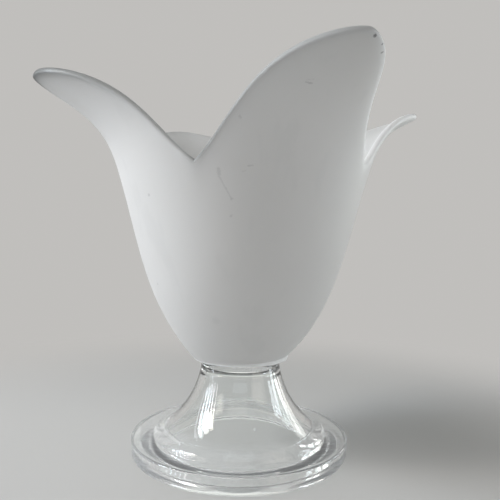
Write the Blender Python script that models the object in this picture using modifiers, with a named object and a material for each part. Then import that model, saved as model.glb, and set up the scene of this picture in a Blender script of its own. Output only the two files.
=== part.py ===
"""Lily vase: a frosted glass bowl that opens into four petals, bonded to a clear glass foot.

Metres, +Z up. The origin is the centre of the foot's underside, on the surface that the vase stands on.
Lengths named WALL, ROUNDING or THICKNESS are glass; angles named LEAN are degrees from upright.
"""
import math
from collections import namedtuple

import bmesh
import bpy
import numpy as np
from mathutils import Vector
from mathutils.geometry import interpolate_bezier

# Foot disc
DISC_RADIUS = 0.0802
DISC_THICKNESS = 0.0125
DISC_TOP_ROUNDING = 0.0012
DISC_UNDERSIDE_ROUNDING = 0.0025
DISC_DRAFT = 0.0006

# Rounded shoulder between the disc and the stem
SHOULDER_WIDTH = 0.0080
SHOULDER_HEIGHT = 0.0060

# Stem, which flares from the joint down to the shoulder
STEM_HEIGHT = 0.0484
STEM_TOP_RADIUS = 0.0290
STEM_TOP_ROUNDING = 0.0007
STEM_TOP_LEAN = 5.6
STEM_TOP_PULL = 0.0200
STEM_BASE_RADIUS = 0.0560
STEM_BASE_LEAN = 52.0
STEM_BASE_PULL = 0.0203

# Hollow under the foot
STEM_WALL = 0.0055
CEILING_THICKNESS = 0.0070
CEILING_ROUNDING = 0.0050
MOUTH_FLARE = 0.0032
MOUTH_ROUNDING = 0.0015

# Clear bond between the foot and the bowl
SEAT_GAP = 0.0003
BOND_THICKNESS = 0.0004
BOND_INSET = 0.0008

# Low collar round the underside of the bowl
COLLAR_UNDERSIDE_RADIUS = 0.0352
COLLAR_TOP_RADIUS = 0.0360
COLLAR_HEIGHT = 0.0040

# Body of the bowl, from the collar up to the throat, where the petals part
BODY_HEIGHT = 0.1283
BODY_LEAN = 46.9
BODY_PULL = 0.0470
THROAT_RADIUS = 0.0908
THROAT_LEAN = 16.7
THROAT_PULL = 0.0493

# Glass of the bowl
BOWL_WALL = 0.0050
FLOOR_THICKNESS = 0.0075
FLOOR_BLEND_HEIGHT = 0.0200
RIM_ROUNDING = 0.0022

# Petals, which bend outwards above the throat
PETAL_BEND_LENGTH = 0.0694
PETAL_SIDE_LEAN = 20.8
PETAL_SHOULDER_POWER = 1.60
PETAL_POINT_POWER = 1.42
RIGHT_PETAL_LENGTH = 0.0890
BACK_PETAL_LENGTH = 0.0857
LEFT_PETAL_LENGTH = 0.0898
FRONT_PETAL_LENGTH = 0.0829

# One petal: azimuths of its middle and of the notch after it, length along the glass, lean at its tip
Petal = namedtuple("Petal", "middle notch length lean")
PETALS = (
    Petal(middle=19.3, notch=67.1, length=RIGHT_PETAL_LENGTH, lean=62.0),
    Petal(middle=114.3, notch=160.1, length=BACK_PETAL_LENGTH, lean=56.1),
    Petal(middle=195.0, notch=251.0, length=LEFT_PETAL_LENGTH, lean=58.4),
    Petal(middle=296.4, notch=331.7, length=FRONT_PETAL_LENGTH, lean=59.5),
)

# Finishes
Finish = namedtuple("Finish", "name colour roughness transmission")
CLEAR_GLASS = Finish(name="clear_glass", colour=(0.93, 0.95, 0.95), roughness=0.03, transmission=1.0)
CLEAR_BOND = Finish(name="clear_bond", colour=(0.88, 0.90, 0.90), roughness=0.10, transmission=0.9)
FROSTED_GLASS = Finish(name="frosted_glass", colour=(0.80, 0.82, 0.82), roughness=0.60, transmission=0.35)

# Facets
FOOT_STEPS = 48
CURVE_POINTS = 9
CORNER_POINTS = 4
HALF_PETAL_COLUMNS = 12
TIP_CROWDING = 1.25
WALL_ROWS = 20
MERIDIAN_SAMPLES = 40
FLOOR_RINGS = 2
RIM_SEGMENTS = 2
CORNER_ANGLE = 50.0
MERGE_DISTANCE = 0.00001

# Heights of the seats, worked out from the sizes above
STEM_BASE_Z = DISC_THICKNESS + SHOULDER_HEIGHT
FOOT_TOP_Z = STEM_BASE_Z + STEM_HEIGHT
BOND_Z = FOOT_TOP_Z + SEAT_GAP
BOWL_UNDERSIDE_Z = BOND_Z + BOND_THICKNESS + SEAT_GAP
COLLAR_TOP_Z = BOWL_UNDERSIDE_Z + COLLAR_HEIGHT
THROAT_Z = COLLAR_TOP_Z + BODY_HEIGHT


def clear_scene():
    """Remove the objects of the scene that the script starts in."""
    for item in list(bpy.data.objects):
        bpy.data.objects.remove(item, do_unlink=True)


def direction(lean):
    """Unit vector in the (radius, height) plane that points up and leans outwards from upright."""
    angle = math.radians(lean)
    return Vector((math.sin(angle), math.cos(angle)))


def curve(start, start_pull, end_pull, end, points=CURVE_POINTS):
    """Points of one smooth curve in the (radius, height) plane, with the pulls of its two ends."""
    handles = [Vector((*point, 0.0)) for point in (start, start + start_pull, end + end_pull, end)]
    return [point.to_2d() for point in interpolate_bezier(*handles, points)]


def rounded(corner, before, after, radius, points=CORNER_POINTS):
    """A round corner of a profile that arrives along before and leaves along after."""
    arrive = (corner - before).normalized()
    leave = (after - corner).normalized()
    half_turn = arrive.angle(leave) / 2
    reach = radius * math.tan(half_turn)
    pull = reach * 4 / 3 * math.tan(half_turn / 2) / math.tan(half_turn)
    start = corner - arrive * reach
    end = corner + leave * reach
    return curve(start, arrive * pull, -leave * pull, end, points)


def evenly_spaced(points, count):
    """The same profile with its points at even steps along it."""
    line = np.array([tuple(point) for point in points])
    lengths = np.linalg.norm(np.diff(line, axis=0), axis=1)
    travelled = np.concatenate(([0.0], np.cumsum(lengths)))
    stations = np.linspace(0.0, travelled[-1], count)
    radii = np.interp(stations, travelled, line[:, 0])
    heights = np.interp(stations, travelled, line[:, 1])
    return [Vector(pair) for pair in zip(radii, heights)]


def glass(finish):
    """Material of a glass finish."""
    material = bpy.data.materials.new(finish.name)
    material.use_nodes = True
    shader = material.node_tree.nodes["Principled BSDF"]
    shader.inputs["Base Color"].default_value = (*finish.colour, 1.0)
    shader.inputs["Metallic"].default_value = 0.0
    shader.inputs["Roughness"].default_value = finish.roughness
    shader.inputs["Transmission Weight"].default_value = finish.transmission
    material.diffuse_color = (*finish.colour, 1.0)
    material.roughness = finish.roughness
    return material


def add_object(name, mesh, material, collection):
    """Put a mesh in the model under its own name and finish."""
    mesh.materials.append(material)
    item = bpy.data.objects.new(name, mesh)
    collection.objects.link(item)
    return item


def turned(name, profile, material, collection):
    """A turned solid, whose profile runs down its outer side from the axis and back to the axis."""
    mesh = bpy.data.meshes.new(name)
    points = [(radius, 0.0, height) for radius, height in profile]
    edges = [(index, index + 1) for index in range(len(points) - 1)]
    mesh.from_pydata(points, edges, [])
    item = add_object(name, mesh, material, collection)
    screw = item.modifiers.new("turn", "SCREW")
    screw.axis = "Z"
    screw.angle = math.tau
    screw.steps = FOOT_STEPS
    screw.render_steps = FOOT_STEPS
    screw.use_merge_vertices = True
    screw.merge_threshold = MERGE_DISTANCE
    screw.use_smooth_shade = True
    return item


def stem_curve():
    """Outer side of the stem, from the joint down to the shoulder."""
    top = Vector((STEM_TOP_RADIUS, FOOT_TOP_Z))
    base = Vector((STEM_BASE_RADIUS, STEM_BASE_Z))
    down_from_top = direction(180.0 - STEM_TOP_LEAN) * STEM_TOP_PULL
    up_from_base = -direction(180.0 - STEM_BASE_LEAN) * STEM_BASE_PULL
    return curve(top, down_from_top, up_from_base, base)


def shoulder_curve():
    """Quarter round of the shoulder, from the stem's base out and down to the disc's top."""
    centre = Vector((STEM_BASE_RADIUS, DISC_THICKNESS))
    points = []
    for index in range(1, CORNER_POINTS + 1):
        angle = math.pi / 2 * index / CORNER_POINTS
        points.append(centre + Vector((SHOULDER_WIDTH * math.sin(angle), SHOULDER_HEIGHT * math.cos(angle))))
    return points


def hollow_curve(outer):
    """Inner side of the stem, one wall thickness inside its outer side, from the ceiling's corner down."""
    ceiling_z = FOOT_TOP_Z - CEILING_THICKNESS
    inner = []
    for before, point, after in zip(outer, outer[1:], outer[2:] + outer[-1:]):
        along = (after - before).normalized()
        inner.append(point + Vector((along.y, -along.x)) * STEM_WALL)
    below_ceiling = [point for point in inner if point.y < ceiling_z - CEILING_ROUNDING]
    corner = Vector((below_ceiling[0].x, ceiling_z))
    ceiling_corner = rounded(corner, Vector((0.0, ceiling_z)), below_ceiling[0], CEILING_ROUNDING)
    return ceiling_corner + below_ceiling


def glass_foot(collection):
    """Pressed foot: a hollow stem that flares into a rounded shoulder and a thick round disc."""
    outer = stem_curve()
    hollow = hollow_curve(outer)
    mouth = Vector((hollow[-1].x + MOUTH_FLARE, 0.0))
    disc_edge_top = Vector((DISC_RADIUS, DISC_THICKNESS))
    disc_edge_base = Vector((DISC_RADIUS - DISC_DRAFT, 0.0))
    stem_shoulder = Vector((STEM_BASE_RADIUS + SHOULDER_WIDTH, DISC_THICKNESS))
    top_centre = Vector((0.0, FOOT_TOP_Z))

    profile = [top_centre]
    profile += rounded(outer[0], top_centre, outer[1], STEM_TOP_ROUNDING)
    profile += outer[1:]
    profile += shoulder_curve()
    profile += rounded(disc_edge_top, stem_shoulder, disc_edge_base, DISC_TOP_ROUNDING)
    profile += rounded(disc_edge_base, disc_edge_top, mouth, DISC_UNDERSIDE_ROUNDING)
    profile += rounded(mouth, disc_edge_base, hollow[-1], MOUTH_ROUNDING)
    profile += reversed(hollow)
    profile.append(Vector((0.0, FOOT_TOP_Z - CEILING_THICKNESS)))
    return turned("glass_foot", profile, glass(CLEAR_GLASS), collection)


def bond_film(collection):
    """Clear film that bonds the bowl's underside to the top of the stem."""
    radius = STEM_TOP_RADIUS - BOND_INSET
    top = BOND_Z + BOND_THICKNESS
    profile = [Vector(point) for point in ((0.0, top), (radius, top), (radius, BOND_Z), (0.0, BOND_Z))]
    return turned("bond_film", profile, glass(CLEAR_BOND), collection)


def body_curve():
    """Outer side of the bowl from the collar's top up to the throat."""
    collar = Vector((COLLAR_TOP_RADIUS, COLLAR_TOP_Z))
    throat = Vector((THROAT_RADIUS, THROAT_Z))
    lower_pull = direction(BODY_LEAN) * BODY_PULL
    upper_pull = -direction(THROAT_LEAN) * THROAT_PULL
    return curve(collar, lower_pull, upper_pull, throat, MERIDIAN_SAMPLES)


def smooth_step(share):
    """Share from 0 to 1 that starts and ends level."""
    return share * share * (3.0 - 2.0 * share)


def petal_curve(petal, share):
    """Outer side of a petal above the throat, with share 0 on its middle line and 1 at its notch."""
    length = petal.length * (1.0 - share ** PETAL_SHOULDER_POWER) ** PETAL_POINT_POWER
    middle_share = 1.0 - share ** 2
    full_lean = PETAL_SIDE_LEAN + (petal.lean - PETAL_SIDE_LEAN) * middle_share
    step = length / MERIDIAN_SAMPLES
    point = Vector((THROAT_RADIUS, THROAT_Z))
    points = []
    for index in range(MERIDIAN_SAMPLES):
        bend = smooth_step(min(1.0, (index + 0.5) * step / PETAL_BEND_LENGTH))
        point = point + direction(THROAT_LEAN + (full_lean - THROAT_LEAN) * bend) * step
        points.append(point)
    return points


def petal_columns():
    """Azimuth, petal and share of each column of the bowl, anticlockwise from the first petal's start."""
    columns = []
    notch_before = PETALS[-1].notch - 360.0
    shares = [(index / HALF_PETAL_COLUMNS) ** TIP_CROWDING for index in range(HALF_PETAL_COLUMNS + 1)]
    for petal in PETALS:
        for share in reversed(shares[1:]):
            columns.append((petal.middle + (notch_before - petal.middle) * share, petal, share))
        for share in shares[:-1]:
            columns.append((petal.middle + (petal.notch - petal.middle) * share, petal, share))
        notch_before = petal.notch
    return columns


def column_profile(petal, share):
    """Outer side of the bowl along one column: its flat underside, the collar, the body and the petal."""
    floor = []
    for ring in range(1, FLOOR_RINGS + 1):
        floor.append(Vector((COLLAR_UNDERSIDE_RADIUS * ring / FLOOR_RINGS, BOWL_UNDERSIDE_Z)))
    wall = body_curve()
    if share < 1.0:
        wall += petal_curve(petal, share)
    return floor + evenly_spaced(wall, WALL_ROWS)


def glass_share(height):
    """Share of the floor's thickness that the glass has at a height: full at the collar, thinner above it."""
    wall_share = BOWL_WALL / FLOOR_THICKNESS
    climbed = (height - COLLAR_TOP_Z) / FLOOR_BLEND_HEIGHT
    return 1.0 + (wall_share - 1.0) * min(1.0, max(0.0, climbed))


def bowl_skin():
    """Outer skin of the bowl as an open sheet, lofted through its columns from the underside to the rim."""
    sheet = bmesh.new()
    pole = sheet.verts.new((0.0, 0.0, BOWL_UNDERSIDE_Z))
    columns = []
    for azimuth, petal, share in petal_columns():
        angle = math.radians(azimuth)
        across = Vector((math.cos(angle), math.sin(angle)))
        column = []
        for radius, height in column_profile(petal, share):
            column.append(sheet.verts.new((across.x * radius, across.y * radius, height)))
        columns.append(column)
    for column, following in zip(columns, columns[1:] + columns[:1]):
        sheet.faces.new((pole, following[0], column[0]))
        for low, high, next_low, next_high in zip(column, column[1:], following, following[1:]):
            sheet.faces.new((low, next_low, next_high, high))
    for face in sheet.faces:
        face.smooth = True
    mesh = bpy.data.meshes.new("lily_bowl")
    sheet.to_mesh(mesh)
    sheet.free()
    return mesh


def lily_bowl(collection):
    """Frosted bowl: the skin thickened inwards, with its rim and the collar's edge rounded."""
    item = add_object("lily_bowl", bowl_skin(), glass(FROSTED_GLASS), collection)
    thickness = item.vertex_groups.new(name="glass_thickness")
    for vertex in item.data.vertices:
        thickness.add([vertex.index], glass_share(vertex.co.z), "REPLACE")
    shell = item.modifiers.new("glass", "SOLIDIFY")
    shell.thickness = FLOOR_THICKNESS
    shell.offset = -1.0
    shell.vertex_group = thickness.name
    shell.use_even_offset = True
    rim = item.modifiers.new("rim", "BEVEL")
    rim.limit_method = "ANGLE"
    rim.angle_limit = math.radians(CORNER_ANGLE)
    rim.width = RIM_ROUNDING
    rim.segments = RIM_SEGMENTS
    rim.use_clamp_overlap = True
    return item


def build_vase():
    """The whole vase in a collection of its own."""
    clear_scene()
    collection = bpy.data.collections.new("lily_vase")
    bpy.context.scene.collection.children.link(collection)
    glass_foot(collection)
    bond_film(collection)
    lily_bowl(collection)


build_vase()
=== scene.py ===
"""Lily vase in plain soft studio light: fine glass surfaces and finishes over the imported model."""
import math
from collections import namedtuple

import bpy
import numpy as np
from mathutils import Matrix, Vector
from mathutils.geometry import interpolate_bezier


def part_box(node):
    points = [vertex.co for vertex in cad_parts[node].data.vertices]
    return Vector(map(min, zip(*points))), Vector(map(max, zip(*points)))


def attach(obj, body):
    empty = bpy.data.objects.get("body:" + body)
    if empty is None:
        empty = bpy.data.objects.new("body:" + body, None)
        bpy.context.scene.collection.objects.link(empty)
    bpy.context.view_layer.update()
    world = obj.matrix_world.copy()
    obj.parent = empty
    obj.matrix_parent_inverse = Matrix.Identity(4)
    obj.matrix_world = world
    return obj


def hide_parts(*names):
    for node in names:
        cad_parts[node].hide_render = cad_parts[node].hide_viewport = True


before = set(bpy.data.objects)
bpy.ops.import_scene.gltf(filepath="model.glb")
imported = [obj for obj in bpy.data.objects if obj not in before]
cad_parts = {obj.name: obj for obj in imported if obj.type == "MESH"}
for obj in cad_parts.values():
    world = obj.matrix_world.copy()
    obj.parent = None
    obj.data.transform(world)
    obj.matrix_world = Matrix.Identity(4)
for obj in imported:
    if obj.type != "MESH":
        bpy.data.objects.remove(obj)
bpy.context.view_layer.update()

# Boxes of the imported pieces, which the fine surfaces stand in
FOOT_LOW, FOOT_HIGH = (Vector(corner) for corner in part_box("glass_foot"))
BOND_LOW, BOND_HIGH = (Vector(corner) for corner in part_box("bond_film"))
BOWL_LOW = Vector(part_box("lily_bowl")[0])

# Foot, in metres, with leans in degrees from upright
DISC_RADIUS = 0.0801
DISC_THICKNESS = 0.0125
DISC_TOP_ROUNDING = 0.0014
DISC_UNDERSIDE_ROUNDING = 0.0028
DISC_DRAFT = 0.0006
SHOULDER_WIDTH = 0.0080
SHOULDER_HEIGHT = 0.0060
STEM_TOP_RADIUS = 0.0290
STEM_TOP_ROUNDING = 0.0008
STEM_TOP_LEAN = 5.6
STEM_TOP_PULL = 0.0200
STEM_BASE_RADIUS = 0.0560
STEM_BASE_LEAN = 52.0
STEM_BASE_PULL = 0.0203
STEM_WALL = 0.0055
CEILING_THICKNESS = 0.0060
CEILING_ROUNDING = 0.0045
MOUTH_FLARE = 0.0032
MOUTH_ROUNDING = 0.0015

# Bowl
COLLAR_UNDERSIDE_RADIUS = 0.0352
COLLAR_TOP_RADIUS = 0.0360
COLLAR_HEIGHT = 0.0040
COLLAR_LOW_SIDE = 0.0010
COLLAR_HIGH_BEARING = 20.0
COLLAR_BLEND_HEIGHT = 0.0300
COLLAR_ROUNDING = 0.0012
BODY_HEIGHT = 0.1283
BODY_LEAN = 46.9
BODY_PULL = 0.0470
THROAT_RADIUS = 0.0908
THROAT_LEAN = 16.7
THROAT_PULL = 0.0493
BOWL_WALL = 0.0050
FLOOR_THICKNESS = 0.0075
FLOOR_BLEND_HEIGHT = 0.0200
FLOOR_SETTLING_POWER = 4
RIM_THICKNESS = 0.0046
RIM_TAPER_LENGTH = 0.0250
RIM_MARGIN = 0.0055
RIM_REACH = 0.0008
RIM_FADE_LENGTH = 0.0070
SQUARE_RIM_POWER = 0.68
BLEND_COLUMNS = 4
SHINE_POWER = 0.7
PETAL_BEND_LENGTH = 0.0694
PETAL_SIDE_LEAN = 20.8
PETAL_SHOULDER_POWER = 1.60
PETAL_POINT_POWER = 1.42
NOTCH_SHARPNESS = 0.12
NOTCH_RISE_POWER = 5
PETAL_TRIM = 0.0004

# Stations along a petal's rim: 0 at its tip, -1 at the notch before it and 1 at the notch after it
STATIONS = (-1.0, -0.5, -0.2, 0.0, 0.2, 0.5, 1.0)
ALL_SQUARE = (1.0,) * len(STATIONS)

# One petal: azimuths of its middle and of the notch after it, rise of that notch above the throat, length
# along the glass and lean at its tip. Then, each at the stations, how pale its rim is, from clear polished
# glass painted dark as shade, 0, to a painted white glow, 1, set per petal by how the light reaches it; how
# much of that painted look the wall beside the rim has; and how square the rim's section is
Petal = namedtuple("Petal", "middle notch rise length lean pale beside square")
PETALS = (
    Petal(19.3, 67.1, 0.0, 0.0890, 62.0,
          pale=(1.0, 1.0, 1.0, 1.0, 1.0, 1.0, 1.0),
          beside=(0.6, 0.3, 0.3, 0.3, 0.3, 0.3, 0.3),
          square=(0.7, 0.2, 0.0, 0.0, 0.0, 0.3, 1.0)),
    Petal(114.3, 160.1, 0.0, 0.0857, 56.1,
          pale=(0.7, 0.5, 0.35, 0.35, 0.35, 0.5, 0.7),
          beside=(0.3, 0.3, 0.3, 0.3, 0.3, 0.3, 0.3),
          square=ALL_SQUARE),
    Petal(195.0, 251.0, 0.0, 0.0887, 59.6,
          pale=(0.7, 0.4, 0.1, 0.0, 0.08, 0.4, 0.75),
          beside=(0.3, 0.5, 0.9, 0.95, 0.6, 0.4, 0.3),
          square=ALL_SQUARE),
    Petal(296.4, 331.7, 0.0070, 0.0829, 59.5,
          pale=(0.0, 0.35, 0.4, 0.45, 0.9, 1.0, 1.0),
          beside=(0.35, 0.35, 0.35, 0.4, 0.9, 0.95, 0.6),
          square=ALL_SQUARE),
)

# Fineness of the surfaces
FOOT_STEPS = 192
STEM_POINTS = 40
CORNER_POINTS = 9
HALF_PETAL_COLUMNS = 34
COLUMN_CROWDING = 0.65
WALL_ROWS = 62
MERIDIAN_SAMPLES = 120
FLOOR_RINGS = 6
RIM_POINTS = 13
CREASE_ANGLE = 28.0
MERGE_DISTANCE = 0.00001

# View of the photograph, in its 500 by 500 pixels
FRAME_PIXELS = 500
FOCAL_PIXELS = 501.5
AXIS_PIXEL = 242.4
HORIZON_PIXEL = 249.1
CAMERA_DISTANCE = 0.380
EYE_HEIGHT = 0.1495
CAMERA_ROLL = 0.0165
SENSOR_WIDTH = 36.0
NEAR_CLIP = 0.01


def direction(lean):
    """Unit vector in the (radius, height) plane that points up and leans outwards from upright."""
    angle = math.radians(lean)
    return Vector((math.sin(angle), math.cos(angle)))


def curve(start, start_pull, end_pull, end, points):
    """Points of one smooth curve in the (radius, height) plane, with the pulls of its two ends."""
    handles = [Vector((*point, 0.0)) for point in (start, start + start_pull, end + end_pull, end)]
    return [point.to_2d() for point in interpolate_bezier(*handles, points)]


def rounded(corner, before, after, radius):
    """A round corner of a profile that arrives along before and leaves along after."""
    arrive = (corner - before).normalized()
    leave = (after - corner).normalized()
    half_turn = arrive.angle(leave) / 2
    reach = radius * math.tan(half_turn)
    pull = reach * 4 / 3 * math.tan(half_turn / 2) / math.tan(half_turn)
    start = corner - arrive * reach
    end = corner + leave * reach
    return curve(start, arrive * pull, -leave * pull, end, CORNER_POINTS)


# Shader maths

class Value:
    """A socket that gives a number, on which arithmetic adds Math nodes."""

    def __init__(self, nodes, socket):
        self.nodes = nodes
        self.socket = socket

    def math(self, operation, *others):
        return self.nodes.math(operation, self, *others)

    def __add__(self, other):
        return self.math("ADD", other)

    def __radd__(self, other):
        return self.nodes.math("ADD", other, self)

    def __sub__(self, other):
        return self.math("SUBTRACT", other)

    def __rsub__(self, other):
        return self.nodes.math("SUBTRACT", other, self)

    def __mul__(self, other):
        return self.math("MULTIPLY", other)

    def __rmul__(self, other):
        return self.nodes.math("MULTIPLY", other, self)

    def above(self, edge, softness):
        """1 where the value is well above an edge and 0 well below it, with a soft step between."""
        return self.nodes.step(self, edge - softness, edge + softness)

    def below(self, edge, softness):
        return 1.0 - self.above(edge, softness)


class Nodes:
    """The nodes of a material or of the air round the vase, from an empty start."""

    def __init__(self, tree):
        self.tree = tree
        self.tree.nodes.clear()

    def node(self, kind, settings=None, *values, **inputs):
        """A node of a kind: first its settings, then its first sockets in their order and others by name."""
        node = self.tree.nodes.new("ShaderNode" + kind)
        for setting, value in (settings or {}).items():
            setattr(node, setting, value)
        for socket, value in zip(node.inputs, values):
            self.feed(socket, value)
        for label, value in inputs.items():
            self.feed(self.socket_named(node, label), value)
        return node

    @staticmethod
    def socket_named(node, label):
        wanted = label.replace("_", " ").lower()
        for socket in node.inputs:
            if socket.enabled and socket.name.lower() == wanted:
                return socket
        raise KeyError(f"{node.bl_idname} has no socket {wanted}")

    def feed(self, socket, value):
        """Link a value to a socket, or set the socket to it."""
        if isinstance(value, Value):
            value = value.socket
        if isinstance(value, bpy.types.NodeSocket):
            self.tree.links.new(value, socket)
        elif isinstance(value, tuple) and len(value) == 3 and socket.type == "RGBA":
            socket.default_value = (*value, 1.0)
        else:
            socket.default_value = value

    def math(self, operation, *operands):
        return Value(self, self.node("Math", {"operation": operation}, *operands).outputs[0])

    def step(self, value, low, high):
        """Soft step from 0 at a low value to 1 at a high one."""
        node = self.node("MapRange", {"interpolation_type": "SMOOTHSTEP"},
                         value=value, from_min=low, from_max=high, to_min=0.0, to_max=1.0)
        return Value(self, node.outputs[0])

    def mix(self, factor, first, second):
        """Colour between two colours."""
        node = self.node("Mix", {"data_type": "RGBA"}, factor=factor, a=first, b=second)
        return next(socket for socket in node.outputs if socket.enabled)

    def place(self):
        """Place on the object, in metres."""
        return self.node("TexCoord").outputs["Object"]

    def on_points(self, name):
        """A number that the mesh carries on its points."""
        return Value(self, self.node("Attribute", {"attribute_name": name}).outputs["Fac"])

    def parts(self, vector):
        """The three numbers of a vector."""
        node = self.node("SeparateXYZ", vector=vector)
        return [Value(self, socket) for socket in node.outputs]

    def noise(self, vector, scale, detail, roughness=0.5):
        """Noise round 0.5, with its scale to the metre."""
        node = self.node("TexNoise", vector=vector, scale=scale, detail=detail, roughness=roughness)
        return Value(self, node.outputs[0])

    def stretched(self, vector, scale):
        """The vector with each of its axes at a scale of its own."""
        node = self.node("Mapping", vector=vector, scale=scale)
        return node.outputs[0]

    def vector_math(self, operation, *operands, **inputs):
        return self.node("VectorMath", {"operation": operation}, *operands, **inputs)

    def distance(self, vector, point):
        return Value(self, self.vector_math("DISTANCE", vector, point).outputs["Value"])

    def distance_to_line(self, vector, start, end):
        """Distance to the straight line between two points."""
        line = Vector(end) - Vector(start)
        offset = self.vector_math("SUBTRACT", vector, start).outputs[0]
        reached = self.vector_math("DOT_PRODUCT", offset, tuple(line)).outputs["Value"]
        clamped = {"operation": "MULTIPLY", "use_clamp": True}
        share = self.node("Math", clamped, reached, 1.0 / line.length_squared)
        nearest = self.vector_math("SCALE", tuple(line), scale=share.outputs[0])
        return self.distance(offset, nearest.outputs[0])

    def bump(self, height, strength, distance):
        """Normal of a surface that a height from 0 to 1 raises by up to a distance."""
        node = self.node("Bump", height=height, strength=strength, distance=distance)
        return node.outputs[0]

    def between(self, factor, first, second):
        """Shader between two shaders."""
        return self.node("MixShader", None, factor, first.outputs[0], second.outputs[0])

    def seen(self):
        """1 for the rays that show what is there: the camera's, reflected ones and those through glass."""
        ray = self.node("LightPath").outputs
        mirrored = self.math("MAXIMUM", ray["Is Camera Ray"], ray["Is Glossy Ray"])
        return self.math("MAXIMUM", mirrored, ray["Is Transmission Ray"])


class Finish(Nodes):
    """A material and the nodes that make it."""

    def __init__(self, name):
        self.material = bpy.data.materials.new(name)
        self.material.use_nodes = True
        super().__init__(self.material.node_tree)

    def put_out(self, shader):
        """Make a shader the material's surface."""
        self.node("OutputMaterial", surface=shader.outputs[0])
        return self.material

    def see_through(self, glass):
        """Put out a glass shader that lets the lamps' light through to what lies behind it."""
        ray = self.node("LightPath").outputs
        passes = self.math("MAXIMUM", ray["Is Shadow Ray"], ray["Is Diffuse Ray"])
        clear = self.node("BsdfTransparent", color=CLEAR_TINT)
        return self.put_out(self.between(passes, glass, clear))


# Finishes

GLASS_IOR = 1.50
BOND_IOR = 1.48

# Marks on the glass: place in metres, radius, and strength from 0 to 1 of each
Mark = namedtuple("Mark", "place radius strength")
MARK_SOFTNESS = 0.5
FROSTED_MARKS = (
    Mark((0.0656, -0.1262, 0.2589), radius=0.0010, strength=0.75),
    Mark((0.0713, -0.1193, 0.2576), radius=0.0006, strength=0.60),
    Mark((0.0727, -0.1135, 0.2554), radius=0.0007, strength=0.50),
    Mark((-0.0026, -0.0992, 0.2234), radius=0.0009, strength=0.16),
    Mark((-0.0070, -0.0846, 0.1791), radius=0.0009, strength=0.12),
    Mark((-0.0071, -0.0819, 0.1691), radius=0.0009, strength=0.16),
    Mark((-0.0161, -0.0568, 0.1030), radius=0.0026, strength=0.06),
    Mark((-0.0597, -0.0615, 0.1826), radius=0.0009, strength=0.20),
    Mark((-0.0571, -0.0386, 0.1248), radius=0.0009, strength=0.16),
)

# Scuffs in lines on the frosted glass: both ends in metres, half width, and strength of each
Scuff = namedtuple("Scuff", "start end half_width strength")
SCUFF_SOFTNESS = 0.8
FROSTED_SCUFFS = (
    Scuff((-0.0146, -0.0883, 0.1957), (-0.0144, -0.0874, 0.1927), half_width=0.0009, strength=0.15),
    Scuff((-0.0142, -0.0872, 0.1915), (-0.0070, -0.0846, 0.1791), half_width=0.0005, strength=0.13),
    Scuff((0.0024, -0.0900, 0.1976), (0.0053, -0.0900, 0.1980), half_width=0.0004, strength=0.18),
    Scuff((-0.0009, -0.0891, 0.1944), (0.0012, -0.0892, 0.1950), half_width=0.0004, strength=0.08),
    Scuff((0.0331, -0.1086, 0.2403), (0.0364, -0.1073, 0.2401), half_width=0.0005, strength=0.25),
    Scuff((0.0336, -0.1095, 0.2413), (0.0368, -0.1092, 0.2418), half_width=0.0005, strength=0.08),
)

# Etched white: its colours, the scales of its patterns to the metre, and how they show
FROST_SHADE = (0.677, 0.674, 0.668)
FROST_LIGHT = (0.714, 0.711, 0.704)
CLOUD_SCALE = 14.0
CLOUD_ROUGHNESS = 0.10
GRAIN_SCALE = 1900.0
GRAIN_ROUGHNESS = 0.06
GRAIN_STRENGTH = 0.06
GRAIN_DEPTH = 0.0001
WIPED_COLOUR = (0.52, 0.53, 0.53)
WIPE_STRETCH = (60.0, 60.0, 9.0)
WIPE_EDGE = 0.62
WIPE_SOFTNESS = 0.06
WIPE_STRENGTH = 0.10
MARK_COLOUR = (0.10, 0.10, 0.11)
RAGGED_SCALE = 700.0
RAGGED_REACH = 3.0
# Painted glow on the collar's side, lighter than the frost
COLLAR_PAINTED_GLOW = (0.86, 0.87, 0.87)
COLLAR_EDGE_SOFTNESS = 0.0004
# Rim tones: the clear, polished rim painted dark as shade, and a painted white glow where light comes through
# it
CLEAR_RIM_PAINTED_DARK = (0.10, 0.105, 0.105)
RIM_PAINTED_GLOW = (0.97, 0.98, 0.98)
FROST_ROUGHNESS = 0.42
RIM_EXTRA_ROUGHNESS = 0.12
SHINE_SMOOTHING = 0.40
FROST_DEPTH = (0.003, 0.003, 0.003)
FROST_MILKINESS = 0.50
FROST_SHEEN = 0.3


def frost_marks(finish, place):
    """How far a spot belongs to a mark or a scuff of the frosted glass, from 0 to 1."""
    ragged = finish.noise(place, RAGGED_SCALE, detail=3.0, roughness=0.7)
    marks = 0.0
    for mark in FROSTED_MARKS:
        away = finish.distance(place, mark.place) + (ragged - 0.5) * mark.radius * RAGGED_REACH
        marks = marks + away.below(mark.radius, mark.radius * MARK_SOFTNESS) * mark.strength
    for scuff in FROSTED_SCUFFS:
        reach = scuff.half_width
        away = finish.distance_to_line(place, scuff.start, scuff.end) + (ragged - 0.5) * reach * RAGGED_REACH
        marks = marks + away.below(reach, reach * SCUFF_SOFTNESS) * scuff.strength
    return marks


def on_collar(finish, place):
    """1 on the collar, which takes a painted glow, and whose top edge runs down to its low side."""
    x, y, z = finish.parts(place)
    bearing = math.radians(COLLAR_HIGH_BEARING)
    across = x * (math.cos(bearing) / COLLAR_TOP_RADIUS) + y * (math.sin(bearing) / COLLAR_TOP_RADIUS)
    middle = (COLLAR_HEIGHT + COLLAR_LOW_SIDE) / 2
    above_collar = z - (BOWL_LOW.z + middle) - across * (COLLAR_HEIGHT - middle)
    return above_collar.below(0.0, COLLAR_EDGE_SOFTNESS)


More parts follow.
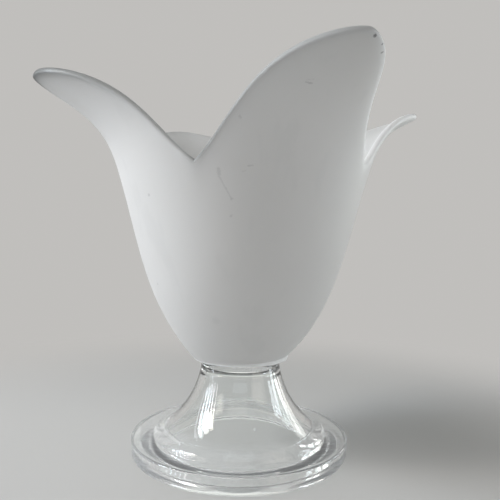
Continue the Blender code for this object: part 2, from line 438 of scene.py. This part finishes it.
def frosted_glass():
    """Satin-etched white glass: matt, a little translucent, with a painted glow on its collar and a polished
    rim whose clear look is painted dark shade and whose white is a painted glow.
    """
    finish = Finish("frosted_glass")
    place = finish.place()
    cloud = finish.noise(place, CLOUD_SCALE, detail=2.0)
    grain = finish.noise(place, GRAIN_SCALE, detail=2.0)
    wipe = finish.noise(finish.stretched(place, WIPE_STRETCH), 1.0, detail=4.0)
    rim = finish.on_points("rim_polish_and_painted_tone")
    shine = finish.on_points("rim_shine")
    # Painted rim tone: painted dark shade on the clear rim, painted white glow on the lit petals
    painted_rim_colour = finish.mix(finish.on_points("rim_painted_tone"), CLEAR_RIM_PAINTED_DARK, RIM_PAINTED_GLOW)
    white = finish.mix(cloud, FROST_SHADE, FROST_LIGHT)
    colour = finish.mix(wipe.above(WIPE_EDGE, WIPE_SOFTNESS) * WIPE_STRENGTH, white, WIPED_COLOUR)
    # Painted glow on the collar
    colour = finish.mix(on_collar(finish, place), colour, COLLAR_PAINTED_GLOW)
    colour = finish.mix(rim, colour, painted_rim_colour)
    colour = finish.mix(frost_marks(finish, place), colour, MARK_COLOUR)
    roughness = FROST_ROUGHNESS + cloud * CLOUD_ROUGHNESS + grain * GRAIN_ROUGHNESS
    return finish.put_out(finish.node(
        "BsdfPrincipled",
        base_color=colour,
        roughness=roughness + rim * RIM_EXTRA_ROUGHNESS - shine * SHINE_SMOOTHING,
        normal=finish.bump(grain * (1.0 - rim), GRAIN_STRENGTH, GRAIN_DEPTH),
        subsurface_weight=FROST_MILKINESS,
        subsurface_radius=FROST_DEPTH,
        subsurface_scale=1.0,
        ior=GLASS_IOR,
        specular_ior_level=FROST_SHEEN,
    ))


# Bright spots in the clear glass: first a painted highlight of a seed, a small bubble in the stem's wall,
# then small white spots on the disc's front left
GLINT_AND_SPECK_SOFTNESS = 0.4
SEED_GLINT_AND_SPECKS = (
    Mark((0.0101, -0.0441, 0.0285), radius=0.0007, strength=0.90),
    Mark((-0.0492, -0.0627, 0.0121), radius=0.0006, strength=0.50),
    Mark((-0.0429, -0.0670, 0.0122), radius=0.0007, strength=0.70),
    Mark((-0.0375, -0.0705, 0.0119), radius=0.0005, strength=0.60),
    Mark((-0.0323, -0.0731, 0.0119), radius=0.0006, strength=0.70),
)

# Clear glass: tint of the light that passes through, patterns, and the dust and scuffs on its lower part
CLEAR_TINT = (0.965, 0.97, 0.97)
CLEAR_COLOUR = (0.96, 0.975, 0.97)
WAVE_SCALE = 30.0
WAVE_STRENGTH = 0.03
WAVE_DEPTH = 0.002
HAZE_SCALE = 160.0
HAZE_EDGE = 0.60
HAZE_SOFTNESS = 0.08
HAZE_ROUGHNESS = 0.05
SCRATCH_STRETCH = (40.0, 260.0, 60.0)
SCRATCH_EDGE = 0.60
SCRATCH_SOFTNESS = 0.10
DUST_COLOUR = (0.82, 0.83, 0.84)
DUST_ROUGHNESS = 0.6
DUST_SHEEN = 0.3
DUST_EVERYWHERE = 0.01
DUST_LOW_DOWN = 0.05
DUST_IN_HAZE = 0.10
DUST_IN_SCRATCHES = 0.12
DUST_EDGE_SOFTNESS = 0.002


def clear_glass():
    """Clear pressed glass: faint waves, and scuffs and dust on the disc and the shoulder."""
    finish = Finish("clear_glass")
    place = finish.place()
    haze = finish.noise(place, HAZE_SCALE, detail=4.0)
    wave = finish.noise(place, WAVE_SCALE, detail=1.0)
    scratch = finish.noise(finish.stretched(place, SCRATCH_STRETCH), 1.0, detail=4.0, roughness=0.65)
    glass = finish.node(
        "BsdfPrincipled",
        base_color=CLEAR_COLOUR,
        roughness=haze.above(HAZE_EDGE, HAZE_SOFTNESS) * HAZE_ROUGHNESS,
        normal=finish.bump(wave, WAVE_STRENGTH, WAVE_DEPTH),
        transmission_weight=1.0,
        ior=GLASS_IOR,
    )
    dust = finish.node(
        "BsdfPrincipled",
        base_color=DUST_COLOUR,
        roughness=DUST_ROUGHNESS,
        specular_ior_level=DUST_SHEEN,
    )
    height = finish.parts(place)[2]
    low = height.below(DISC_THICKNESS + SHOULDER_HEIGHT, DUST_EDGE_SOFTNESS)
    scratches = scratch.above(SCRATCH_EDGE, SCRATCH_SOFTNESS)
    dusty = DUST_LOW_DOWN + haze * DUST_IN_HAZE + scratches * DUST_IN_SCRATCHES
    share = low * dusty + DUST_EVERYWHERE
    # Painted highlight of the seed, and the small white spots, drawn with the dust's white
    for bright_spot in SEED_GLINT_AND_SPECKS:
        spot = finish.distance(place, bright_spot.place).below(bright_spot.radius, bright_spot.radius * GLINT_AND_SPECK_SOFTNESS)
        share = finish.math("MAXIMUM", share, spot * bright_spot.strength)
    return finish.see_through(finish.between(share, glass, dust))


# Cured adhesive: its colour and roughness, and its specks
BOND_COLOUR = (0.90, 0.92, 0.92)
BOND_ROUGHNESS = 0.05
SPECK_SCALE = 500.0
SPECK_EDGE = 0.66
SPECK_SOFTNESS = 0.03
SPECK_ROUGHNESS = 0.3


def clear_bond():
    """Clear cured adhesive, with a few duller specks."""
    finish = Finish("clear_bond")
    speck = finish.noise(finish.place(), SPECK_SCALE, detail=1.0)
    return finish.see_through(finish.node(
        "BsdfPrincipled",
        base_color=BOND_COLOUR,
        roughness=BOND_ROUGHNESS + speck.above(SPECK_EDGE, SPECK_SOFTNESS) * SPECK_ROUGHNESS,
        transmission_weight=1.0,
        ior=BOND_IOR,
    ))


# Paper under and behind the vase: its colours, and how far from the vase its even tone begins and is whole
PAPER_COLOUR = (0.64, 0.63, 0.615)
PAPER_TOOTH_SHADE = 0.97
PAPER_TOOTH_COLOUR = tuple(part * PAPER_TOOTH_SHADE for part in PAPER_COLOUR)
PAPER_TOOTH_SCALE = 900.0
PAPER_ROUGHNESS = 0.85
PAPER_SHEEN = 0.2
BACKDROP_COLOUR = (0.53, 0.52, 0.505)
BACKDROP_START = 0.14
BACKDROP_END = 0.50


def studio_paper():
    """Plain pale paper: lit round the foot of the vase, and one even tone further off and behind it."""
    finish = Finish("studio_paper")
    place = finish.place()
    tooth = finish.noise(place, PAPER_TOOTH_SCALE, detail=2.0)
    away = finish.distance(place, (0.0, 0.0, 0.0))
    paper = finish.node(
        "BsdfPrincipled",
        base_color=finish.mix(tooth, PAPER_COLOUR, PAPER_TOOTH_COLOUR),
        roughness=PAPER_ROUGHNESS,
        specular_ior_level=PAPER_SHEEN,
    )
    even = finish.node("Emission", color=BACKDROP_COLOUR, strength=1.0)
    far = finish.step(away, BACKDROP_START, BACKDROP_END)
    return finish.put_out(finish.between(finish.seen() * far, paper, even))


# Pieces

def new_piece(name, mesh, material):
    """Put a mesh in the scene as a piece of the vase."""
    mesh.materials.append(material)
    piece = bpy.data.objects.new(name, mesh)
    bpy.context.scene.collection.objects.link(piece)
    return piece


def turned(name, profile, material):
    """A turned solid, whose profile runs down its outer side from the axis and back to the axis."""
    mesh = bpy.data.meshes.new(name)
    points = [(radius, 0.0, height) for radius, height in profile]
    edges = [(index, index + 1) for index in range(len(points) - 1)]
    mesh.from_pydata(points, edges, [])
    piece = new_piece(name, mesh, material)
    screw = piece.modifiers.new("turn", "SCREW")
    screw.axis = "Z"
    screw.angle = math.tau
    screw.steps = FOOT_STEPS
    screw.render_steps = FOOT_STEPS
    screw.use_merge_vertices = True
    screw.merge_threshold = MERGE_DISTANCE
    screw.use_smooth_shade = True
    return piece


def stem_curve():
    """Outer side of the stem, from the joint down to the shoulder."""
    top = Vector((STEM_TOP_RADIUS, FOOT_HIGH.z))
    base = Vector((STEM_BASE_RADIUS, DISC_THICKNESS + SHOULDER_HEIGHT))
    down_from_top = direction(180.0 - STEM_TOP_LEAN) * STEM_TOP_PULL
    up_from_base = -direction(180.0 - STEM_BASE_LEAN) * STEM_BASE_PULL
    return curve(top, down_from_top, up_from_base, base, STEM_POINTS)


def shoulder_curve():
    """Quarter round of the shoulder, from the stem's base out and down to the disc's top."""
    centre = Vector((STEM_BASE_RADIUS, DISC_THICKNESS))
    points = []
    for index in range(1, CORNER_POINTS + 1):
        angle = math.pi / 2 * index / CORNER_POINTS
        points.append(centre + Vector((SHOULDER_WIDTH * math.sin(angle), SHOULDER_HEIGHT * math.cos(angle))))
    return points


def hollow_curve(outer):
    """Inner side of the stem, one wall thickness inside its outer side, from the ceiling's corner down."""
    ceiling_z = FOOT_HIGH.z - CEILING_THICKNESS
    inner = []
    for before, point, after in zip(outer, outer[1:], outer[2:]):
        along = (after - before).normalized()
        inner.append(point + Vector((along.y, -along.x)) * STEM_WALL)
    last_along = (outer[-1] - outer[-2]).normalized()
    inner.append(outer[-1] + Vector((last_along.y, -last_along.x)) * STEM_WALL)
    below_ceiling = [point for point in inner if point.y < ceiling_z - CEILING_ROUNDING]
    corner = Vector((below_ceiling[0].x, ceiling_z))
    ceiling_corner = rounded(corner, Vector((0.0, ceiling_z)), below_ceiling[0], CEILING_ROUNDING)
    return ceiling_corner + below_ceiling


def clear_foot():
    """Clear foot: a hollow stem that flares into a rounded shoulder and a thick round disc."""
    outer = stem_curve()
    hollow = hollow_curve(outer)
    mouth = Vector((hollow[-1].x + MOUTH_FLARE, FOOT_LOW.z))
    disc_edge_top = Vector((DISC_RADIUS, DISC_THICKNESS))
    disc_edge_base = Vector((DISC_RADIUS - DISC_DRAFT, FOOT_LOW.z))
    stem_shoulder = Vector((STEM_BASE_RADIUS + SHOULDER_WIDTH, DISC_THICKNESS))
    top_centre = Vector((0.0, FOOT_HIGH.z))

    profile = [top_centre]
    profile += rounded(outer[0], top_centre, outer[1], STEM_TOP_ROUNDING)
    profile += outer[1:]
    profile += shoulder_curve()
    profile += rounded(disc_edge_top, stem_shoulder, disc_edge_base, DISC_TOP_ROUNDING)
    profile += rounded(disc_edge_base, disc_edge_top, mouth, DISC_UNDERSIDE_ROUNDING)
    profile += rounded(mouth, disc_edge_base, hollow[-1], MOUTH_ROUNDING)
    profile += reversed(hollow)
    profile.append(Vector((0.0, FOOT_HIGH.z - CEILING_THICKNESS)))
    piece = turned("clear_foot", profile, clear_glass())
    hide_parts("glass_foot")
    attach(piece, "root")
    return piece


def collar_height(azimuth):
    """Height of the collar, which is lower on one side."""
    share = 0.5 + 0.5 * math.cos(math.radians(azimuth - COLLAR_HIGH_BEARING))
    return COLLAR_LOW_SIDE + (COLLAR_HEIGHT - COLLAR_LOW_SIDE) * share


def body_curve():
    """Outer side of the bowl from the collar's top up to the throat."""
    collar = Vector((COLLAR_TOP_RADIUS, BOWL_LOW.z + COLLAR_HEIGHT))
    throat = Vector((THROAT_RADIUS, collar.y + BODY_HEIGHT))
    lower_pull = direction(BODY_LEAN) * BODY_PULL
    upper_pull = -direction(THROAT_LEAN) * THROAT_PULL
    return curve(collar, lower_pull, upper_pull, throat, MERIDIAN_SAMPLES)


def smooth_step(share):
    """Share from 0 to 1 that starts and ends level."""
    return share * share * (3.0 - 2.0 * share)


def petal_share(share):
    """How much of a petal's length is left between its middle line, 0, and its sharp notch, 1."""
    left = 1.0 - share ** PETAL_SHOULDER_POWER
    power = (PETAL_POINT_POWER - 1.0) / 2
    return left * ((left ** 2 + NOTCH_SHARPNESS ** 2) / (1.0 + NOTCH_SHARPNESS ** 2)) ** power


def petal_curve(petal, share, rise, throat):
    """Outer side of a petal above the throat, with share 0 on its middle line and 1 at its notch."""
    length = (petal.length - PETAL_TRIM) * petal_share(share) + rise * share ** NOTCH_RISE_POWER
    middle_share = 1.0 - share ** 2
    full_lean = PETAL_SIDE_LEAN + (petal.lean - PETAL_SIDE_LEAN) * middle_share
    step = length / MERIDIAN_SAMPLES
    point = throat.copy()
    points = []
    for index in range(MERIDIAN_SAMPLES):
        bend = smooth_step(min(1.0, (index + 0.5) * step / PETAL_BEND_LENGTH))
        point = point + direction(THROAT_LEAN + (full_lean - THROAT_LEAN) * bend) * step
        points.append(point)
    return points


# One column of the bowl's surface, from the underside's middle up to the rim: its bearing, its petal, its
# share of the way from the petal's tip to the notch, that notch's rise, and the look of its rim: its painted
# tone, how far that paint reaches the wall, and its squareness
Column = namedtuple("Column", "azimuth petal share rise pale beside square")


def petal_columns():
    """Columns of each half petal, crowded at its tip and notch, anticlockwise from the first petal."""
    columns = []
    notch_before = PETALS[-1].notch - 360.0
    rise_before = PETALS[-1].rise
    even = [index / HALF_PETAL_COLUMNS for index in range(HALF_PETAL_COLUMNS + 1)]
    shares = [step + (smooth_step(step) - step) * COLUMN_CROWDING for step in even]
    for petal in PETALS:
        before = [(-share, notch_before, rise_before) for share in reversed(shares[1:])]
        after = [(share, petal.notch, petal.rise) for share in shares[:-1]]
        for station, notch, rise in before + after:
            share = abs(station)
            azimuth = petal.middle + (notch - petal.middle) * share
            looks = [np.interp(station, STATIONS, look) for look in (petal.pale, petal.beside, petal.square)]
            columns.append(Column(azimuth, petal, share, rise, *looks))
        notch_before = petal.notch
        rise_before = petal.rise
    return columns


def blended(numbers):
    """Numbers of the columns, each evened out with its neighbours."""
    return np.mean([np.roll(numbers, shift) for shift in range(-BLEND_COLUMNS, BLEND_COLUMNS + 1)], axis=0)


def rows_to_rim(points, count):
    """The same profile in even steps, with one step of the rim's margin at its end."""
    line = np.array([tuple(point) for point in points])
    lengths = np.linalg.norm(np.diff(line, axis=0), axis=1)
    travelled = np.concatenate(([0.0], np.cumsum(lengths)))
    stations = np.append(np.linspace(0.0, travelled[-1] - RIM_MARGIN, count - 1), travelled[-1])
    radii = np.interp(stations, travelled, line[:, 0])
    heights = np.interp(stations, travelled, line[:, 1])
    return np.stack([radii, heights, travelled[-1] - stations], axis=1)


def wall_profile(column, body):
    """Outer side of the wall along one column, from the collar's top: radius, height, distance to the rim."""
    drop = COLLAR_HEIGHT - collar_height(column.azimuth)
    wall = []
    for point in body:
        eased = max(0.0, 1.0 - (point.y - body[0].y) / COLLAR_BLEND_HEIGHT)
        wall.append(Vector((point.x, point.y - drop * eased ** 2)))
    if column.share < 1.0 or column.rise > 0.0:
        wall += petal_curve(column.petal, column.share, column.rise, body[-1])
    return rows_to_rim(wall, WALL_ROWS)


def underside_profile(collar_top):
    """Flat underside and the collar's side along one column, from the axis out and up to the collar's top."""
    corner = Vector((COLLAR_UNDERSIDE_RADIUS, BOWL_LOW.z))
    points = [Vector((corner.x * ring / FLOOR_RINGS, corner.y)) for ring in range(1, FLOOR_RINGS)]
    reach = min(COLLAR_ROUNDING, (collar_top.y - corner.y) / 2)
    points += rounded(corner, points[-1], collar_top, reach)
    return points


def glass_thickness(height, to_rim):
    """Thickness of the wall: full at the collar, thinner above it, and thinner again towards the rim."""
    climbed = np.clip((height - BOWL_LOW.z - COLLAR_HEIGHT) / FLOOR_BLEND_HEIGHT, 0.0, 1.0)
    lower = FLOOR_THICKNESS + (BOWL_WALL - FLOOR_THICKNESS) * climbed
    near_rim = smooth_step(np.clip(1.0 - to_rim / RIM_TAPER_LENGTH, 0.0, 1.0))
    return lower + (RIM_THICKNESS - lower) * near_rim


def unit(vectors):
    """The same directions, each of length 1."""
    return vectors / np.linalg.norm(vectors, axis=-1, keepdims=True)


def around(azimuths, radii, heights):
    """Points in space from bearings, radii and heights."""
    angles = np.radians(azimuths)
    return np.stack([np.cos(angles) * radii, np.sin(angles) * radii, heights], axis=-1)


# One closed ring of the bowl's surface: its points, how far each takes the rim's polish and painted tone, and
# the ring's shine
Ring = namedtuple("Ring", "points rim shine")


def bowl_rings(columns):
    """Closed rings from the bowl's underside round its rim to its inner floor, and that floor's height."""
    body = body_curve()
    azimuths = np.array([column.azimuth for column in columns])
    walls = np.array([wall_profile(column, body) for column in columns])
    outer = around(azimuths[:, None], walls[..., 0], walls[..., 1])
    across = np.roll(outer, -1, axis=0) - np.roll(outer, 1, axis=0)
    along = np.gradient(outer, axis=1)
    normals = unit(np.cross(across, along))
    thickness = glass_thickness(walls[..., 1], walls[..., 2])[..., None]
    inner = outer - normals * thickness

    rim_normal = normals[:, -1]
    rim_out = unit(np.cross(rim_normal, across[:, -1]))
    rim_out *= np.sign(np.sum(rim_out * along[:, -1], axis=-1, keepdims=True))
    half = RIM_THICKNESS / 2
    rim_middle = outer[:, -1] - rim_normal * half - rim_out * (half - RIM_REACH)

    plain = np.zeros(len(columns))
    beside = blended([column.beside for column in columns])
    roundness = 1.0 + (SQUARE_RIM_POWER - 1.0) * blended([column.square for column in columns])
    # The rim's painted tone reaches a little way down the wall beside it, painting shade where the rim is
    # dark and glow where it is white
    fade = beside[:, None] * np.exp(-walls[..., 2] / RIM_FADE_LENGTH)
    rings = []
    undersides = [underside_profile(Vector(wall[0, :2])) for wall in walls]
    for points in zip(*undersides):
        radii, heights = np.array([tuple(point) for point in points]).T
        rings.append(Ring(around(azimuths, radii, heights), plain, 0.0))
    for row in range(WALL_ROWS - 1):
        rings.append(Ring(outer[:, row], fade[:, row], 0.0))
    for index in range(RIM_POINTS):
        turn = math.pi * index / (RIM_POINTS - 1)
        sideways = math.copysign(1.0, math.cos(turn)) * abs(math.cos(turn)) ** roundness
        outwards = math.sin(turn) ** roundness if 0 < index < RIM_POINTS - 1 else plain
        points = rim_middle + (rim_normal * sideways[:, None] + rim_out * outwards[:, None]) * half
        rings.append(Ring(points, beside + (1.0 - beside) * outwards, outwards))
    for row in reversed(range(WALL_ROWS - 1)):
        rings.append(Ring(inner[:, row], fade[:, row], 0.0))
    floor_z = BOWL_LOW.z + FLOOR_THICKNESS
    for index in range(1, FLOOR_RINGS):
        share = index / FLOOR_RINGS
        first = inner[:, 0]
        sunk = floor_z + (first[:, 2:] - floor_z) * (1.0 - share) ** FLOOR_SETTLING_POWER
        rings.append(Ring(np.concatenate([first[:, :2] * (1.0 - share), sunk], axis=1), plain, 0.0))
    return rings, floor_z


def on_points(mesh, name, rings):
    """Put a number on the points of a mesh, ring by ring, and 0 on the two poles that follow them."""
    numbers = np.concatenate([*rings, [0.0, 0.0]]).astype(np.float32)
    mesh.attributes.new(name, "FLOAT", "POINT").data.foreach_set("value", numbers)


def bowl_mesh():
    """Mesh of the bowl, one closed body, with its rim's polish and painted glow and shade on its points."""
    columns = petal_columns()
    rings, floor_z = bowl_rings(columns)
    count = len(rings[0].points)
    poles = np.array([[0.0, 0.0, BOWL_LOW.z], [0.0, 0.0, floor_z]])
    points = np.concatenate([ring.points for ring in rings] + [poles])
    outer_pole = len(points) - 2
    inner_pole = len(points) - 1
    faces = []
    for column in range(count):
        following = (column + 1) % count
        faces.append((outer_pole, following, column))
        for ring in range(len(rings) - 1):
            low = ring * count
            faces.append((low + column, low + following, low + count + following, low + count + column))
        last = (len(rings) - 1) * count
        faces.append((inner_pole, last + column, last + following))
    mesh = bpy.data.meshes.new("frosted_bowl")
    mesh.from_pydata([tuple(map(float, point)) for point in points], [], faces)
    mesh.shade_smooth()
    mesh.set_sharp_from_angle(angle=math.radians(CREASE_ANGLE))
    share = np.array([column.share for column in columns])
    pale = blended([column.pale for column in columns])
    shine = (1.0 - share ** SHINE_POWER) * (1.0 - pale)
    # The rim's polish and its painted tone, from painted dark shade to painted white glow
    on_points(mesh, "rim_polish_and_painted_tone", [ring.rim for ring in rings])
    on_points(mesh, "rim_painted_tone", [pale for ring in rings])
    on_points(mesh, "rim_shine", [ring.shine * shine for ring in rings])
    return mesh


def frosted_bowl():
    """Frosted bowl, thickest at its floor, with a rounded rim."""
    piece = new_piece("frosted_bowl", bowl_mesh(), frosted_glass())
    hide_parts("lily_bowl")
    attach(piece, "root")
    return piece


def bond():
    """Clear film between the foot and the bowl."""
    radius = BOND_HIGH.x
    profile = [Vector((0.0, BOND_HIGH.z)), Vector((radius, BOND_HIGH.z))]
    profile += [Vector((radius, BOND_LOW.z)), Vector((0.0, BOND_LOW.z))]
    piece = turned("bond_layer", profile, clear_bond())
    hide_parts("bond_film")
    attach(piece, "root")
    return piece


# Studio

FLOOR_HALF_WIDTH = 3.0
SWEEP_START = 1.80
SWEEP_RADIUS = 0.80
SWEEP_TOP = 2.4
SWEEP_STEPS = 24
FLOOR_DROP = 0.0002


def studio_sweep():
    """Pale floor that curves up into the backdrop."""
    line = [Vector((-FLOOR_HALF_WIDTH, 0.0)), Vector((SWEEP_START, 0.0))]
    for index in range(1, SWEEP_STEPS + 1):
        angle = math.pi / 2 * index / SWEEP_STEPS
        rise = SWEEP_RADIUS * (1.0 - math.cos(angle))
        line.append(Vector((SWEEP_START + SWEEP_RADIUS * math.sin(angle), rise)))
    line.append(Vector((SWEEP_START + SWEEP_RADIUS, SWEEP_TOP)))
    points = []
    for along, height in line:
        for side in (-FLOOR_HALF_WIDTH, FLOOR_HALF_WIDTH):
            points.append((side, along, height - FLOOR_DROP))
    faces = [(2 * index, 2 * index + 1, 2 * index + 3, 2 * index + 2) for index in range(len(line) - 1)]
    mesh = bpy.data.meshes.new("studio_sweep")
    mesh.from_pydata(points, [], faces)
    mesh.shade_smooth()
    mesh.materials.append(studio_paper())
    sweep = bpy.data.objects.new("studio_sweep", mesh)
    bpy.context.scene.collection.objects.link(sweep)


# Soft lamps round the vase: bearing, distance, height, width, tall side, power and colour of each
Lamp = namedtuple("Lamp", "name bearing distance height width tall power colour")
LAMPS = (
    Lamp("left_pane_1", 200.0, 1.15, 0.70, 0.05, 0.90, 1.90, (1.00, 0.94, 0.94)),
    Lamp("left_pane_2", 193.0, 1.15, 0.70, 0.05, 0.90, 2.60, (0.88, 0.91, 1.00)),
    Lamp("left_pane_3", 186.0, 1.15, 0.70, 0.05, 0.90, 3.30, (0.82, 0.89, 1.00)),
    Lamp("left_pane_4", 179.0, 1.15, 0.70, 0.05, 0.90, 3.20, (0.82, 0.92, 1.00)),
    Lamp("left_pane_5", 172.0, 1.15, 0.70, 0.05, 0.90, 0.55, (0.90, 0.94, 1.00)),
    Lamp("left_low_pane_1", 189.0, 1.15, 0.13, 0.020, 0.24, 0.20, (0.85, 0.90, 1.00)),
    Lamp("left_low_pane_2", 182.0, 1.15, 0.13, 0.020, 0.24, 0.25, (0.85, 0.92, 1.00)),
    Lamp("left_high_pane_1", 200.0, 1.15, 1.05, 0.10, 0.50, 2.60, (1.00, 0.94, 0.84)),
    Lamp("left_high_pane_2", 190.0, 1.15, 1.05, 0.10, 0.50, 2.60, (1.00, 1.00, 0.92)),
    Lamp("left_high_pane_3", 180.0, 1.15, 1.05, 0.10, 0.50, 1.10, (0.90, 1.00, 1.00)),
    Lamp("left_front_panel", 216.0, 1.60, 1.00, 0.50, 0.60, 2.10, (1.00, 0.95, 0.88)),
    Lamp("front_high_panel", 265.0, 1.80, 1.50, 1.60, 0.80, 1.60, (1.00, 0.97, 0.85)),
    Lamp("front_panel", 270.0, 1.80, 0.40, 1.40, 0.80, 5.60, (0.86, 0.93, 1.00)),
    Lamp("right_front_panel", 320.0, 1.60, 0.50, 1.00, 0.80, 3.20, (1.00, 0.91, 0.84)),
    Lamp("right_pane_1", 5.0, 1.20, 0.35, 0.20, 0.70, 3.10, (0.88, 0.95, 1.00)),
    Lamp("right_pane_2", 20.0, 1.20, 0.35, 0.20, 0.70, 1.30, (0.88, 1.00, 0.98)),
    Lamp("right_pane_3", 35.0, 1.20, 0.35, 0.20, 0.70, 1.50, (0.98, 1.00, 0.96)),
    Lamp("back_panel", 95.0, 1.20, 0.60, 0.90, 0.60, 0.90, (0.96, 1.00, 0.95)),
)
LAMP_TARGET = Vector((0.0, 0.0, 0.16))
# The lamp in front, which would show as a plain rectangle in the stem
UNMIRRORED_LAMP = "front_panel"
# The air round the vase: its colour, and how strongly it lights things and how bright it is to look at
AIR_COLOUR = (1.0, 0.981, 0.953)
FILL_STRENGTH = 0.03
SEEN_STRENGTH = 0.53


def panel_light(lamp):
    """A soft rectangular lamp in its place, which faces the vase."""
    bearing = math.radians(lamp.bearing)
    place = Vector((lamp.distance * math.cos(bearing), lamp.distance * math.sin(bearing), lamp.height))
    panel = bpy.data.lights.new(lamp.name, "AREA")
    panel.shape = "RECTANGLE"
    panel.size, panel.size_y = lamp.width, lamp.tall
    panel.energy = lamp.power
    panel.color = lamp.colour
    item = bpy.data.objects.new(lamp.name, panel)
    bpy.context.scene.collection.objects.link(item)
    item.location = place
    item.rotation_euler = (LAMP_TARGET - place).to_track_quat("-Z", "Y").to_euler()
    item.visible_glossy = lamp.name != UNMIRRORED_LAMP


def studio_light():
    """Tall narrow panes of cool light on the left, weaker panels all round, and an even fill."""
    for lamp in LAMPS:
        panel_light(lamp)
    world = bpy.data.worlds.new("studio_world")
    world.use_nodes = True
    air = Nodes(world.node_tree)
    strength = FILL_STRENGTH + air.seen() * (SEEN_STRENGTH - FILL_STRENGTH)
    background = air.node("Background", color=AIR_COLOUR, strength=strength)
    air.node("OutputWorld", surface=background.outputs[0])
    bpy.context.scene.world = world


def camera():
    """The photograph's view: level, close to the vase, its frame turned by a degree."""
    lens = bpy.data.cameras.new("camera")
    lens.sensor_width = SENSOR_WIDTH
    lens.lens = SENSOR_WIDTH * FOCAL_PIXELS / FRAME_PIXELS
    lens.clip_start = NEAR_CLIP
    item = bpy.data.objects.new("camera", lens)
    bpy.context.scene.collection.objects.link(item)
    centre = FRAME_PIXELS / 2
    yaw = -math.atan((centre - AXIS_PIXEL) / FOCAL_PIXELS)
    pitch = math.pi / 2 - math.atan((centre - HORIZON_PIXEL) / FOCAL_PIXELS)
    place = Matrix.Translation((0.0, -CAMERA_DISTANCE, EYE_HEIGHT))
    aim = Matrix.Rotation(yaw, 4, "Z") @ Matrix.Rotation(pitch, 4, "X")
    item.matrix_world = place @ aim @ Matrix.Rotation(CAMERA_ROLL, 4, "Z")
    bpy.context.scene.camera = item


clear_foot()
bond()
frosted_bowl()
studio_sweep()
studio_light()
camera()
bpy.context.scene.view_settings.view_transform = "Standard"
